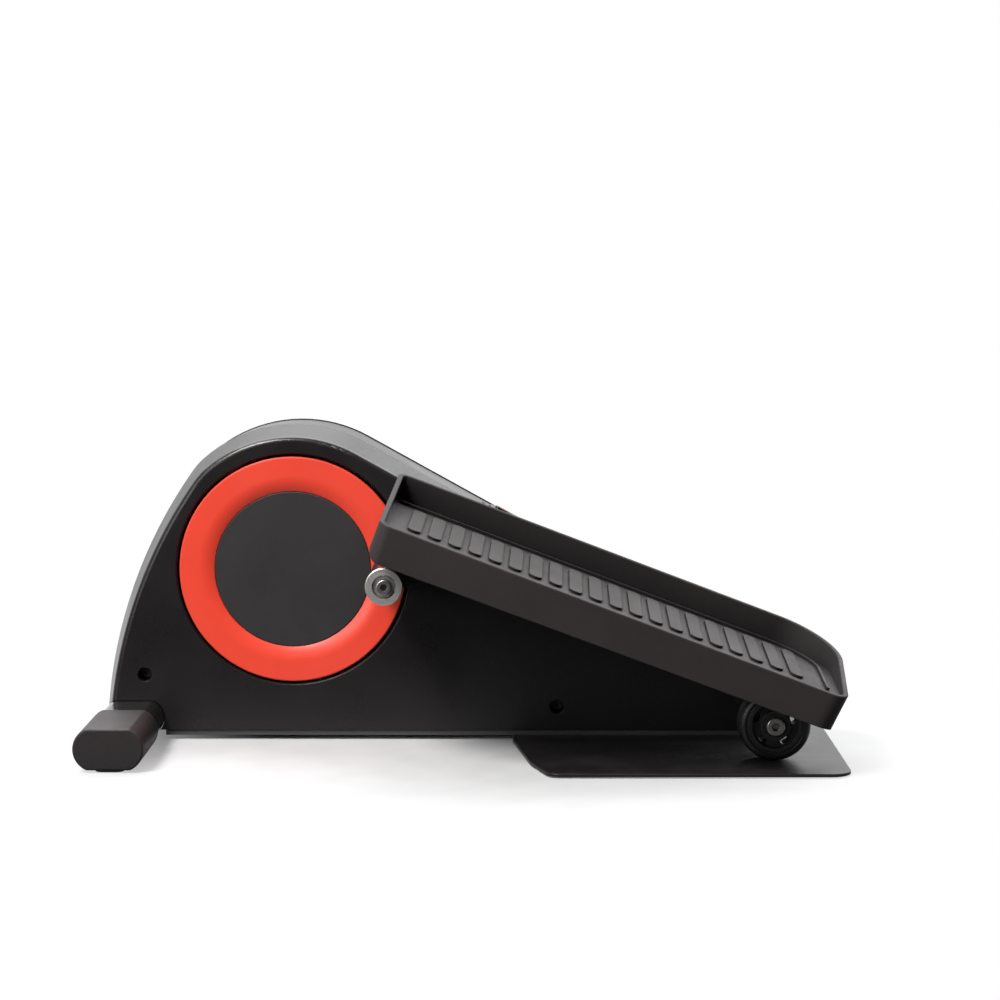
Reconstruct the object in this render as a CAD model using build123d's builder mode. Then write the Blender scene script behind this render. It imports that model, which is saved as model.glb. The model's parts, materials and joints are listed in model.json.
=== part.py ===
from build123d import *
from math import asin, atan, atan2, cos, degrees, hypot, radians, sin, tan
import os

# A seated pedal exerciser: a crank in a narrow housing drives two pedals, whose heel ends
# roll on a steel base plate. Sizes are in millimetres.
# +X points to the user's heels, -Y is the user's left, +Z is up. The origin is on the
# floor, under the centre of the whole machine.

# Base plate
plate_rear = 294.5
plate_half_width = 208
plate_bottom = 1.0
plate_top = 3.5
plate_rear_radius = 17

# Front foot
foot_x = -267.5
foot_z = 18.0
boot_length_x = 54.0
boot_height = 32.0
boot_flat = 33.0
boot_wall = 2.5
boot_inner_end = 118
boot_outer_end = 193

# Crank
crank_x = -138.0
crank_z = 139.0
crank_throw = 78.7
shaft_radius = 10.0
bearing_radius = 21.0
bearing_width = 12.0
disc_radius = 88.0
ring_outer_radius = 90.8
ring_inner_radius = 62.9
opening_radius = 93.0

# Housing
housing_half = 69.0
spine_half = 30.0
wall = 3.0
crown_radius = 114.5
shoulder_drop = 8.5
face_edge_radius = 4.0
slope_angle = 29.0
tail_x = 262.0
tail_radius = 40.0
shell_bottom = 8.0
front_corner = (-293.6, 30.0)
front_middle = (-268.4, 130.6)
crown_start_angle = 135.0
screw_points = [(-258.2, 53.3), (74.6, 27.0)]

# Chassis and drive
rail_inner = 36.5
rail_outer = 39.5
pan_half = 67.5
flywheel_x = 30.0
flywheel_z = 76.0
flywheel_radius = 60.0
axle_radius = 6.0
drive_pulley_radius = 80.0
small_pulley_radius = 14.0
belt_near = -28.0
belt_far = -16.0
belt_thickness = 2.0
running_gap = 0.05

# Pedals: the left one at rest has its crank pin level with the crank shaft, behind it
pedal_centre = 151.5
pedal_width = 140.0
pedal_length = 373.0
pedal_tilt = 20.4
toe_x = -70.2
toe_z = 166.85
outer_wall_height = 28.0
inner_wall_height = 54.5
toe_lift = 1.3
heel_flare = 3.0
rim_width = 4.0
floor_height = 25.5
floor_rise = 8.0
floor_thickness = 3.0
rib_pitch = 16.2
rib_count = 20
pedal_shift = -2 * crank_throw

# Pedal arm and roller
roller_x = 240.0
roller_z = 31.5
roller_radius = 27.7
roller_near = 142.0
roller_far = 166.0
arm_near = 94.0
arm_far = 130.0
arm_top = 14.0
arm_height = 18.0
sleeve_near = 82.0
sleeve_far = 163.0
sleeve_radius = 14.0
pin_radius = 8.0

# Tension dial on the rear slope
dial_x = 36.0
dial_radius = 20.0
dial_recess = 3.0

os.makedirs("parts", exist_ok=True)

crank = (crank_x, crank_z)
flywheel_centre = (flywheel_x, flywheel_z)
left_pin = (crank_x + crank_throw, crank_z)
roller = (roller_x, roller_z)


def save(piece, name):
    """Label a finished piece and write it."""
    piece.part.label = name
    export_step(piece.part, f"parts/{name}.step")


def save_pair(piece, name, shift=0, turn=0):
    """Write a left-hand piece and its mirror image on the right, moved along X or turned with the crank."""
    save(piece, f"{name}_left")
    twin_shape = mirror(piece.part, about=Plane.XZ).rotate(Axis((crank_x, 0, crank_z), (0, 1, 0)), turn)
    with BuildPart() as twin:
        with Locations((shift, 0, 0)):
            add(twin_shape)
    save(twin, f"{name}_right")


def across(distance):
    """The upright plane this far to the left of the middle. Local x is +X, local y is up, and it faces left."""
    return Plane.XZ.offset(distance)


def rod(centre, radius, near, far, mode=Mode.ADD):
    """A round bar across the machine, between two distances to the left of the middle."""
    with BuildSketch(across(near)) as section:
        with Locations(centre):
            Circle(radius)
    extrude(section.sketch, amount=far - near, mode=mode)


def tube(centre, outer, inner, near, far):
    """A round tube across the machine."""
    with BuildSketch(across(near)) as section:
        with Locations(centre):
            Circle(outer)
            Circle(inner, mode=Mode.SUBTRACT)
    extrude(section.sketch, amount=far - near)


def plate(corners, near, far, mode=Mode.ADD, corner_radius=0):
    """A flat plate of this side view, between two distances to the left of the middle."""
    with BuildSketch(across(near)) as section:
        with BuildLine():
            Polyline(*corners, close=True)
        make_face()
        if corner_radius:
            fillet(section.vertices(), radius=corner_radius)
    extrude(section.sketch, amount=far - near, mode=mode)


def hex_socket(centre, across_flats, depth, far):
    """A hexagon socket cut into a screw head whose end is this far to the left."""
    with BuildSketch(across(far - depth)) as section:
        with Locations(centre):
            RegularPolygon(across_flats / 2, 6, major_radius=False)
    extrude(section.sketch, amount=depth, mode=Mode.SUBTRACT)


# Base plate: a sheet whose front edge sweeps back on each side of the housing
with BuildPart() as base_plate:
    with BuildSketch(Plane.XY.offset(plate_bottom)):
        with BuildLine():
            edge = Polyline(
                (39, 0), (39, -84), (52, -165), (66, -plate_half_width),
                (plate_rear, -plate_half_width), (plate_rear, 0),
            )
            mirror(edge, about=Plane.XZ)
        make_face()
    extrude(amount=plate_top - plate_bottom)
    upright = base_plate.edges().filter_by(Axis.Z)
    fillet(upright.filter_by_position(Axis.X, plate_rear - 1, plate_rear + 1), radius=plate_rear_radius)
    upright = base_plate.edges().filter_by(Axis.Z)
    fillet(upright.filter_by_position(Axis.X, 65, 67), radius=12)
    upright = base_plate.edges().filter_by(Axis.Z)
    fillet(upright.filter_by_position(Axis.X, 51, 53), radius=60)
    chamfer(base_plate.faces().sort_by(Axis.Z)[-1].outer_wire().edges(), length=0.5)
save(base_plate, "base_plate")

# Rubber strips under the plate
with BuildPart() as plate_pads:
    with BuildSketch():
        for side in (-1, 1):
            with Locations((180, side * 190), (180, side * 110)):
                RectangleRounded(196, 16, 6)
    extrude(amount=plate_bottom)
save(plate_pads, "plate_pads")

# Front foot: an oval steel tube across the machine, with a moulded boot on each end
boot_bottom = foot_z - boot_height / 2
tube_length_x = boot_length_x - 2 * boot_wall
tube_height = boot_height - 2 * boot_wall
tube_flat = boot_flat - 3
tube_top = foot_z + tube_height / 2


def oval(plane, length, height, flat):
    """The section of the foot: flat top and bottom, joined by shallow arcs."""
    with BuildSketch(plane) as section:
        with BuildLine():
            top = Line((foot_x - flat / 2, foot_z + height / 2), (foot_x + flat / 2, foot_z + height / 2))
            base = Line((foot_x - flat / 2, foot_z - height / 2), (foot_x + flat / 2, foot_z - height / 2))
            ThreePointArc(top @ 0, (foot_x - length / 2, foot_z), base @ 0)
            ThreePointArc(top @ 1, (foot_x + length / 2, foot_z), base @ 1)
        make_face()
        fillet(section.vertices(), radius=4)
    return section.sketch


tube_end = boot_outer_end - 5
with BuildPart() as front_foot_tube:
    extrude(oval(across(-tube_end), tube_length_x, tube_height, tube_flat), amount=2 * tube_end)
    inner_length = tube_length_x - 4
    extrude(oval(across(-tube_end), inner_length, tube_height - 4, tube_flat - 2),
            amount=2 * tube_end, mode=Mode.SUBTRACT)
    with BuildSketch(Plane.XY.offset(tube_top)):
        with Locations((foot_x + 2, -24), (foot_x + 2, 24)):
            Circle(4.1)
    extrude(amount=-6, mode=Mode.SUBTRACT)
save(front_foot_tube, "front_foot_tube")

with BuildPart() as foot_boot:
    extrude(oval(across(boot_inner_end), boot_length_x, boot_height, boot_flat),
            amount=boot_outer_end - boot_inner_end)
    fillet(foot_boot.faces().sort_by(Axis.Y)[0].edges(), radius=1.6)
    fillet(foot_boot.faces().sort_by(Axis.Y)[-1].edges(), radius=0.8)
    extrude(oval(across(boot_inner_end), tube_length_x, tube_height, tube_flat),
            amount=tube_end - boot_inner_end, mode=Mode.SUBTRACT)
save_pair(foot_boot, "foot_boot")

with BuildPart() as foot_pads:
    with BuildSketch():
        with Locations((foot_x, -156), (foot_x, 156)):
            RectangleRounded(22, 66, 6)
    extrude(amount=boot_bottom)
save(foot_pads, "foot_pads")


# Housing: two side shells with a spine cover between them
crank_polar = radians(crown_start_angle)
crown_start = (crank_x + crown_radius * cos(crank_polar), crank_z + crown_radius * sin(crank_polar))
slope_start = (
    crank_x + crown_radius * sin(radians(slope_angle)),
    crank_z + crown_radius * cos(radians(slope_angle)),
)


def slope_height(x):
    """Height of the rear slope of the housing at this X."""
    return slope_start[1] - (x - slope_start[0]) * tan(radians(slope_angle))


def housing_outline(plane, inset=0.0):
    """Side view of the housing, run on below the floor so that the taper leaves its foot alone."""
    with BuildSketch(plane) as outline:
        with BuildLine():
            front = ThreePointArc(front_corner, front_middle, crown_start)
            crown = ThreePointArc(crown_start, (crank_x, crank_z + crown_radius), slope_start)
            slope = Line(crown @ 1, (tail_x, slope_height(tail_x)))
            Polyline(slope @ 1, (tail_x, -30), (front_corner[0] - 6, -30), front_corner)
        make_face()
        tail_corner = outline.vertices().sort_by_distance(Vector(tail_x, slope_height(tail_x)))[0]
        fillet(tail_corner, radius=tail_radius)
        shoulder = outline.vertices().sort_by_distance(Vector(*crown_start))[0]
        fillet(shoulder, radius=60)
        if inset:
            offset(amount=-inset)
    return outline.sketch


shoulder_width = housing_half - spine_half
shoulder_taper = degrees(atan(shoulder_drop / shoulder_width))
tube_clearance = 0.4

with BuildPart() as shell_hollow:
    extrude(housing_outline(across(spine_half), wall), amount=shoulder_width - wall, taper=shoulder_taper)

with BuildPart() as shell:
    extrude(housing_outline(across(spine_half)), amount=shoulder_width, taper=shoulder_taper)
    face_rim = shell.faces().sort_by(Axis.Y)[0].outer_wire().edges()
    fillet(face_rim.filter_by(lambda edge: edge.center().Z > -20), radius=face_edge_radius)
    add(shell_hollow.part, mode=Mode.SUBTRACT)
    # Screw bosses, then the recesses for the screw heads
    for point in screw_points:
        rod(point, 8.5, 50, housing_half - 1)
    for point in screw_points:
        rod(point, 5.85, 54, housing_half + 1, mode=Mode.SUBTRACT)
        rod(point, 2.3, 49, 55, mode=Mode.SUBTRACT)
    rod(crank, opening_radius, 50, housing_half + 1, mode=Mode.SUBTRACT)
    mouth = shell.edges().filter_by(GeomType.CIRCLE).filter_by(
        lambda edge: abs(edge.radius - opening_radius) < 0.1 and edge.center().Y < -housing_half + 0.1
    )
    chamfer(mouth, length=1.2)
    with BuildSketch(Plane.XY.offset(shell_bottom)):
        Rectangle(700, 300)
    extrude(amount=-60, mode=Mode.SUBTRACT)
    extrude(oval(across(20), tube_length_x + 2 * tube_clearance, tube_height + 2 * tube_clearance,
                 tube_flat + tube_clearance), amount=60, mode=Mode.SUBTRACT)
with BuildPart() as shell_left:
    add(shell.solids().sort_by(SortBy.VOLUME)[-1])
save_pair(shell_left, "housing_shell")

# Spine cover: the strip over the top of the housing, set a little below the shells
seam_gap = 0.5
seam_depth = 0.8
dial_z = slope_height(dial_x) - seam_depth / cos(radians(slope_angle))
dial_plane = Plane(
    origin=(dial_x, 0, dial_z),
    x_dir=(cos(radians(slope_angle)), 0, -sin(radians(slope_angle))),
    z_dir=(sin(radians(slope_angle)), 0, cos(radians(slope_angle))),
)
cover_half = spine_half - seam_gap
dish_radius = dial_radius + 3.5

with BuildPart() as cover_hollow:
    extrude(housing_outline(across(-housing_half), seam_depth + wall), amount=2 * housing_half)

with BuildPart() as spine_cover:
    extrude(housing_outline(across(-cover_half), seam_depth), amount=2 * cover_half)
    add(cover_hollow.part, mode=Mode.SUBTRACT)
    # The dish that the tension dial sits in, with a hole for its stem
    with BuildSketch(dial_plane.offset(-dial_recess - wall)):
        Circle(dish_radius + 2)
    extrude(amount=dial_recess + 1)
    with BuildSketch(dial_plane.offset(-dial_recess)):
        Circle(dish_radius)
    extrude(amount=dial_recess + 5, mode=Mode.SUBTRACT)
    with BuildSketch(dial_plane.offset(-10)):
        Circle(5.3)
    extrude(amount=20, mode=Mode.SUBTRACT)
    with BuildSketch(Plane.XY.offset(shell_bottom)):
        Rectangle(700, 300)
    extrude(amount=-60, mode=Mode.SUBTRACT)
    extrude(oval(across(-cover_half), tube_length_x + 2 * tube_clearance, tube_height + 2 * tube_clearance,
                 tube_flat + tube_clearance), amount=2 * cover_half, mode=Mode.SUBTRACT)
with BuildPart() as cover:
    add(spine_cover.solids().sort_by(SortBy.VOLUME)[-1])
save(cover, "spine_cover")

with BuildPart() as dial_bezel:
    with BuildSketch(dial_plane.offset(-dial_recess)):
        Circle(dish_radius - 0.1)
        Circle(dial_radius + 0.4, mode=Mode.SUBTRACT)
    extrude(amount=dial_recess + 0.8)
    chamfer(dial_bezel.faces().sort_by(Axis.Z)[-1].outer_wire().edges(), length=0.5)
save(dial_bezel, "dial_bezel")

# Tension dial: a grooved knob, its stem and the drum that winds the brake cable
knob_height = 5.0
drum_radius = 11.0
drum_bottom = 22.0
with BuildPart() as tension_dial:
    with BuildSketch(dial_plane.offset(-dial_recess + 0.3)):
        Circle(dial_radius)
        with PolarLocations(dial_radius, 24):
            Circle(0.9, mode=Mode.SUBTRACT)
    extrude(amount=knob_height)
    with BuildSketch(dial_plane.offset(knob_height - dial_recess + 0.3)):
        SlotOverall(30, 7)
    extrude(amount=2.2)
    fillet(tension_dial.faces().sort_by(Axis(dial_plane.origin, dial_plane.z_dir))[-1].edges(), radius=0.9)
    with BuildSketch(dial_plane.offset(-drum_bottom)):
        Circle(5.0)
    extrude(amount=drum_bottom - dial_recess + 1)
    with BuildSketch(dial_plane.offset(-drum_bottom)):
        Circle(drum_radius)
    extrude(amount=6)
save(tension_dial, "tension_dial")

# Chassis: a steel pan with two upright rails that carry the crank and the flywheel
pan_front = foot_x + tube_length_x / 2 + 1
pan_top = shell_bottom - 0.5
saddle_z = foot_z + tube_height / 2
axle_boss = 16.0
hinge_point = (-20.0, 19.0)
rail_front = -277.0
rail_corners = [
    (rail_front, saddle_z), (rail_front, 60), (-196, 160), (-92, 166), (44, 112), (84, 40), (96, pan_top),
    (pan_front, pan_top), (pan_front, saddle_z),
]
with BuildPart() as chassis_frame:
    with BuildSketch(Plane.XY.offset(plate_top)):
        with Locations(((pan_front + tail_x - 6) / 2, 0)):
            Rectangle(tail_x - 6 - pan_front, 2 * pan_half)
    extrude(amount=pan_top - plate_top)
    for near in (rail_inner, -rail_outer):
        plate(rail_corners, near, near + rail_outer - rail_inner)
        rod(crank, bearing_radius + 5, near - 1.5, near + rail_outer - rail_inner + 1.5)
    # Saddle over the foot tube, tied to the rails
    with BuildSketch(Plane.XY.offset(saddle_z)):
        with Locations(((rail_front + pan_front) / 2, 0)):
            Rectangle(pan_front - rail_front, 2 * rail_outer)
    extrude(amount=3)
    for near in (rail_inner, -rail_outer):
        far = near + rail_outer - rail_inner
        rod(crank, bearing_radius, near - 5, far + 5, mode=Mode.SUBTRACT)
        rod(flywheel_centre, axle_radius, near - 5, far + 5, mode=Mode.SUBTRACT)
        rod(hinge_point, 4, near - 5, far + 5, mode=Mode.SUBTRACT)
        rod((-196, 62), 26, near - 5, far + 5, mode=Mode.SUBTRACT)
        rod((-100, 62), 26, near - 5, far + 5, mode=Mode.SUBTRACT)
    with BuildSketch(Plane.XY.offset(saddle_z + 4)):
        with Locations((foot_x + 2, -24), (foot_x + 2, 24)):
            Circle(4.1)
    extrude(amount=-8, mode=Mode.SUBTRACT)
save(chassis_frame, "chassis_frame")

with BuildPart() as foot_bolts:
    for side in (-24, 24):
        with BuildSketch(Plane.XY.offset(saddle_z - 12)):
            with Locations((foot_x + 2, side)):
                Circle(4)
        extrude(amount=15.1)
        with BuildSketch(Plane.XY.offset(saddle_z + 3)):
            with Locations((foot_x + 2, side)):
                RegularPolygon(6.5, 6, major_radius=False)
        extrude(amount=5)
save(foot_bolts, "foot_bolts")

with BuildPart() as pan_rivets:
    with BuildSketch(Plane.XY.offset(pan_top)):
        with Locations((90, -52), (90, 52), (170, -52), (170, 52), (236, -40), (236, 40)):
            Circle(5)
    extrude(amount=2.6)
    chamfer(pan_rivets.faces().group_by(Axis.Z)[-1].edges(), length=0.9)
save(pan_rivets, "plate_screws")

head_inner, head_outer = 54, 58
with BuildPart() as left_shell_screws:
    for point in screw_points:
        rod(point, 2.2, rail_outer + 0.2, head_inner)
        rod(point, 4.6, head_inner, head_outer)
        hex_socket(point, 4, 2, head_outer)
with BuildPart() as shell_screws:
    add(left_shell_screws.part)
    mirror(about=Plane.XZ)
save(shell_screws, "shell_screws")

# Crank: shaft, two discs with coloured rings and centre caps, and a boss for each pin
disc_inner = 56.0
disc_outer = 66.0
ring_face = 70.5
boss_end = 78.0
cap_face = 68.0
shaft_end = disc_inner + 7

with BuildPart() as crank_shaft:
    rod(crank, shaft_radius - running_gap, -shaft_end, shaft_end)
save(crank_shaft, "crank_shaft")

with BuildPart() as crank_bearings:
    for near in (rail_inner - 1, -rail_inner + 1 - bearing_width):
        tube(crank, bearing_radius, shaft_radius, near, near + bearing_width)
save(crank_bearings, "crank_bearings")

with BuildPart() as crank_disc:
    rod(crank, disc_radius, disc_inner, disc_outer)
    rod(crank, 22, 48.2, disc_inner)
    rod(left_pin, 12.5, disc_outer - 1, boss_end)
    chamfer(crank_disc.faces().sort_by(Axis.Y)[0].edges(), length=0.8)
    rod(crank, shaft_radius - running_gap, 40, shaft_end, mode=Mode.SUBTRACT)
    rod(left_pin, pin_radius, 60, boss_end + 1, mode=Mode.SUBTRACT)
    rod(crank, 9.5, shaft_end, disc_outer + 1, mode=Mode.SUBTRACT)
save_pair(crank_disc, "crank_disc", turn=180)

# Coloured rings: a flat outer band that rounds down towards the cap
ring_round = 12.0
with BuildPart() as ring:
    with BuildSketch(Plane.XY):
        with BuildLine():
            band = Polyline(
                (crank_x + ring_inner_radius, -disc_outer), (crank_x + ring_outer_radius, -disc_outer),
                (crank_x + ring_outer_radius, -ring_face + 0.8), (crank_x + ring_outer_radius - 0.8, -ring_face),
                (crank_x + ring_inner_radius + ring_round, -ring_face),
            )
            curve_middle = (crank_x + ring_inner_radius + 0.4 * ring_round, -ring_face + 1.15)
            lip = ThreePointArc(band @ 1, curve_middle, (crank_x + ring_inner_radius, -ring_face + 3.2))
            Line(lip @ 1, band @ 0)
        make_face()
    revolve(axis=Axis((crank_x, 0, 0), (0, 1, 0)))
with BuildPart() as ring_placed:
    with Locations((0, 0, crank_z)):
        add(ring.part)
    rod(left_pin, 12.7, disc_outer - 1, boss_end, mode=Mode.SUBTRACT)
save_pair(ring_placed, "crank_ring", turn=180)

with BuildPart() as crank_cap:
    rod(crank, ring_inner_radius - 0.3, disc_outer, cap_face)
    fillet(crank_cap.faces().sort_by(Axis.Y)[0].edges(), radius=0.6)
    rod(crank, 12, disc_outer - 1, disc_outer + 0.7, mode=Mode.SUBTRACT)
save_pair(crank_cap, "crank_cap", turn=180)

with BuildPart() as disc_bolts:
    for near, far in ((shaft_end, disc_outer + 0.6), (-disc_outer - 0.6, -shaft_end)):
        rod(crank, 9, near, far)
save(disc_bolts, "crank_disc_bolts")

# Drive: a large pulley on the crank, a belt, and a small pulley on the flywheel
pulley_web = 4.0
belt_middle = (belt_near + belt_far) / 2
with BuildPart() as drive_pulley:
    rod(crank, drive_pulley_radius, belt_near, belt_far)
    rod(crank, drive_pulley_radius - 6, belt_near - 1, belt_middle - pulley_web / 2, mode=Mode.SUBTRACT)
    rod(crank, drive_pulley_radius - 6, belt_middle + pulley_web / 2, belt_far + 1, mode=Mode.SUBTRACT)
    rod(crank, 20, belt_near, belt_far)
    with BuildSketch(across(belt_near - 1)):
        with Locations(crank):
            with PolarLocations(46, 6):
                Circle(15)
    extrude(amount=belt_far - belt_near + 2, mode=Mode.SUBTRACT)
    rod(crank, shaft_radius - running_gap, belt_near - 1, belt_far + 1, mode=Mode.SUBTRACT)
save(drive_pulley, "drive_pulley")

centre_gap = hypot(flywheel_x - crank_x, flywheel_z - crank_z)
centre_angle = atan2(flywheel_z - crank_z, flywheel_x - crank_x)


def tangent_points(side, big, small):
    """Where the straight run of a belt meets the two pulleys: side is 1 above and -1 below."""
    lean = asin((big - small) / centre_gap)
    direction = centre_angle + side * (radians(90) - lean)
    unit = (cos(direction), sin(direction))
    return (
        (crank_x + big * unit[0], crank_z + big * unit[1]),
        (flywheel_x + small * unit[0], flywheel_z + small * unit[1]),
    )


def belt_loop(plane, grow):
    """The loop round both pulleys, this far outside them."""
    big = drive_pulley_radius + grow
    small = small_pulley_radius + grow
    upper = tangent_points(1, big, small)
    lower = tangent_points(-1, big, small)
    back = (crank_x - big * cos(centre_angle), crank_z - big * sin(centre_angle))
    front = (flywheel_x + small * cos(centre_angle), flywheel_z + small * sin(centre_angle))
    with BuildSketch(plane) as loop:
        with BuildLine():
            Line(upper[0], upper[1])
            ThreePointArc(upper[1], front, lower[1])
            Line(lower[1], lower[0])
            ThreePointArc(lower[0], back, upper[0])
        make_face()
    return loop.sketch


with BuildPart() as drive_belt:
    extrude(belt_loop(across(belt_near + 0.5), running_gap + belt_thickness), amount=belt_far - belt_near - 1)
    extrude(belt_loop(across(belt_near + 0.5), running_gap), amount=belt_far - belt_near - 1, mode=Mode.SUBTRACT)
save(drive_belt, "drive_belt")

idler_radius = 11.0
belt_outside = drive_pulley_radius + running_gap + belt_thickness
run_start, run_end = tangent_points(-1, belt_outside, small_pulley_radius + running_gap + belt_thickness)
run_length = hypot(run_end[0] - run_start[0], run_end[1] - run_start[1])
run_normal = ((run_end[1] - run_start[1]) / run_length, -(run_end[0] - run_start[0]) / run_length)
idler_reach = idler_radius + 0.1
idler = (
    (run_start[0] + 2 * run_end[0]) / 3 + run_normal[0] * idler_reach,
    (run_start[1] + 2 * run_end[1]) / 3 + run_normal[1] * idler_reach,
)
with BuildPart() as idler_roller:
    tube(idler, idler_radius, 4 + running_gap, belt_near, belt_far)
save(idler_roller, "idler_roller")

with BuildPart() as idler_bracket:
    rod(idler, 4, -rail_inner + 3, belt_far - 0.5)
    plate([(idler[0] - 9, idler[1] + 9), (idler[0] + 9, idler[1] + 9), (idler[0] + 9, idler[1] - 22),
           (idler[0] - 9, idler[1] - 22)], -rail_inner, -rail_inner + 3, corner_radius=5)
    rod((idler[0], idler[1] - 14), 3.4, -rail_inner + 3, -rail_inner + 6)
save(idler_bracket, "idler_bracket")

# Flywheel on a fixed axle, with its bearings and the small pulley
flywheel_near, flywheel_far = 2.0, 18.0
with BuildPart() as flywheel:
    rod(flywheel_centre, flywheel_radius, flywheel_near, flywheel_far)
    rod(flywheel_centre, flywheel_radius - 14, flywheel_near - 1, flywheel_near + 5, mode=Mode.SUBTRACT)
    rod(flywheel_centre, flywheel_radius - 14, flywheel_far - 5, flywheel_far + 1, mode=Mode.SUBTRACT)
    rod(flywheel_centre, 20, flywheel_near, flywheel_far)
    chamfer(flywheel.edges().filter_by(GeomType.CIRCLE).filter_by(
        lambda edge: abs(edge.radius - flywheel_radius) < 0.1), length=0.8)
    rod(flywheel_centre, 13, flywheel_near - 1, flywheel_far + 1, mode=Mode.SUBTRACT)
save(flywheel, "flywheel")

with BuildPart() as flywheel_bearings:
    for near in (flywheel_near, flywheel_far - 7):
        tube(flywheel_centre, 13, axle_radius + running_gap, near, near + 7)
save(flywheel_bearings, "flywheel_bearings")

with BuildPart() as flywheel_pulley:
    tube(flywheel_centre, small_pulley_radius, axle_radius + 0.5, belt_near, belt_far)
    tube(flywheel_centre, 11, axle_radius + 0.5, belt_far, flywheel_near)
save(flywheel_pulley, "flywheel_pulley")

with BuildPart() as flywheel_axle:
    rod(flywheel_centre, axle_radius, -rail_outer - 2, rail_outer + 2)
    for near in (rail_outer + 0.1, -rail_outer - 5.1):
        with BuildSketch(across(near)):
            with Locations(flywheel_centre):
                RegularPolygon(9, 6, major_radius=False)
        extrude(amount=5)
save(flywheel_axle, "flywheel_axle")

# Magnetic brake: a curved carrier, hinged at one end, that holds magnets close to the flywheel's rim
carrier_inner = flywheel_radius + 5
carrier_outer = carrier_inner + 3
carrier_near, carrier_far = -12.0, 22.0
first_angle, last_angle = 192.0, 232.0


def on_rim(radius, angle):
    """A point round the flywheel."""
    return (flywheel_x + radius * cos(radians(angle)), flywheel_z + radius * sin(radians(angle)))


middle_angle = (first_angle + last_angle) / 2
with BuildPart() as brake_carrier:
    with BuildSketch(across(carrier_near)):
        with BuildLine():
            outer = ThreePointArc(
                on_rim(carrier_outer, first_angle), on_rim(carrier_outer, middle_angle),
                on_rim(carrier_outer, last_angle),
            )
            inner = ThreePointArc(
                on_rim(carrier_inner, first_angle), on_rim(carrier_inner, middle_angle),
                on_rim(carrier_inner, last_angle),
            )
            Line(outer @ 0, inner @ 0)
            Line(outer @ 1, inner @ 1)
        make_face()
    extrude(amount=carrier_far - carrier_near)
    plate([on_rim(carrier_outer, last_angle), on_rim(carrier_inner, last_angle - 6),
           (hinge_point[0] - 6, hinge_point[1] + 2), (hinge_point[0] + 6, hinge_point[1] - 2)],
          carrier_near, carrier_far)
    rod(hinge_point, 7.5, carrier_near, carrier_far)
    rod(hinge_point, 4 + running_gap, carrier_near - 1, carrier_far + 1, mode=Mode.SUBTRACT)
    rod(flywheel_centre, carrier_inner - 0.6, carrier_near - 1, carrier_far + 1, mode=Mode.SUBTRACT)
save(brake_carrier, "brake_carrier")

with BuildPart() as brake_magnets:
    for step in range(3):
        angle = first_angle + 8 + 13 * step
        with BuildSketch(Plane(origin=(on_rim(carrier_inner - 0.7, angle)[0], -(flywheel_near + flywheel_far) / 2,
                                       on_rim(carrier_inner - 0.7, angle)[1]),
                               x_dir=(0, 1, 0), z_dir=(-cos(radians(angle)), 0, -sin(radians(angle))))):
            RectangleRounded(18, 11, 1)
        extrude(amount=2.8)
save(brake_magnets, "brake_magnets")

with BuildPart() as brake_pin:
    rod(hinge_point, 4, -rail_outer, rail_outer)
save(brake_pin, "brake_pin")

# The brake cable, from the dial's drum to the tip of the carrier
cable_y = 8.0
cable_top = (dial_x - 26, dial_z - 22)
with BuildPart() as brake_cable:
    with BuildLine():
        route = FilletPolyline(
            (cable_top[0], cable_y, cable_top[1]), (cable_top[0] - 34, cable_y, cable_top[1] - 12),
            (on_rim(carrier_outer + 3, first_angle)[0], cable_y, on_rim(carrier_outer + 3, first_angle)[1] + 12),
            radius=26,
        )
    with BuildSketch(Plane(origin=route @ 0, z_dir=route % 0)):
        Circle(1.6)
    sweep()
save(brake_cable, "brake_cable")

# Pedal trays: local x runs from toe to heel, local y from the outer wall to the inner wall, local z up
tilt_cos = cos(radians(pedal_tilt))
tilt_sin = sin(radians(pedal_tilt))
tray_plane = Plane(
    origin=(toe_x, -pedal_centre, toe_z), x_dir=(tilt_cos, 0, -tilt_sin), z_dir=(tilt_sin, 0, tilt_cos)
)
half_width = pedal_width / 2
rim_slope = degrees(atan((inner_wall_height - outer_wall_height) / pedal_width))
floor_slope = degrees(atan(floor_rise / (pedal_width - 2 * rim_width)))
lift_slope = degrees(atan(2 * toe_lift / pedal_length))
rim_start = Location((0, -half_width, outer_wall_height + toe_lift), (rim_slope, lift_slope, 0))
floor_start = Location((0, -half_width + rim_width, floor_height + toe_lift), (floor_slope, lift_slope, 0))
rim_plane = Plane(tray_plane.location * rim_start)
floor_plane = Plane(tray_plane.location * floor_start)
tray_top = 62.0
underside_wall = 3.2


def tray_point(along, up):
    """(x, z) of a point at this distance along the tray and above its lower edge."""
    return (toe_x + along * tilt_cos + up * tilt_sin, toe_z - along * tilt_sin + up * tilt_cos)


def tray_plan(height, inset=0.0):
    """Plan of the tray at a height above its lower edge; the heel wall leans outwards."""
    heel = pedal_length - heel_flare + heel_flare * height / outer_wall_height - inset
    side = half_width - inset
    with BuildSketch(tray_plane.offset(height)) as plan:
        with BuildLine():
            FilletPolyline(
                (inset, -side), (heel, -side), (heel, side), (inset, side),
                radius=[10 - inset, 14 - inset, 52 - inset, 8 - inset], close=True,
            )
        make_face()
    return plan.sketch


def tray_block(low, high, inset=0.0):
    """The solid between two plans of the tray."""
    with BuildPart() as block:
        loft([tray_plan(low, inset), tray_plan(high, inset)], ruled=True)
    return block


with BuildPart() as tray_cavity:
    add(tray_block(0, tray_top, rim_width).part)
    split(bisect_by=floor_plane, keep=Keep.TOP)

with BuildPart() as tray_underside:
    add(tray_block(-1, tray_top, underside_wall).part)
    split(bisect_by=floor_plane.offset(-floor_thickness), keep=Keep.BOTTOM)

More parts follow.
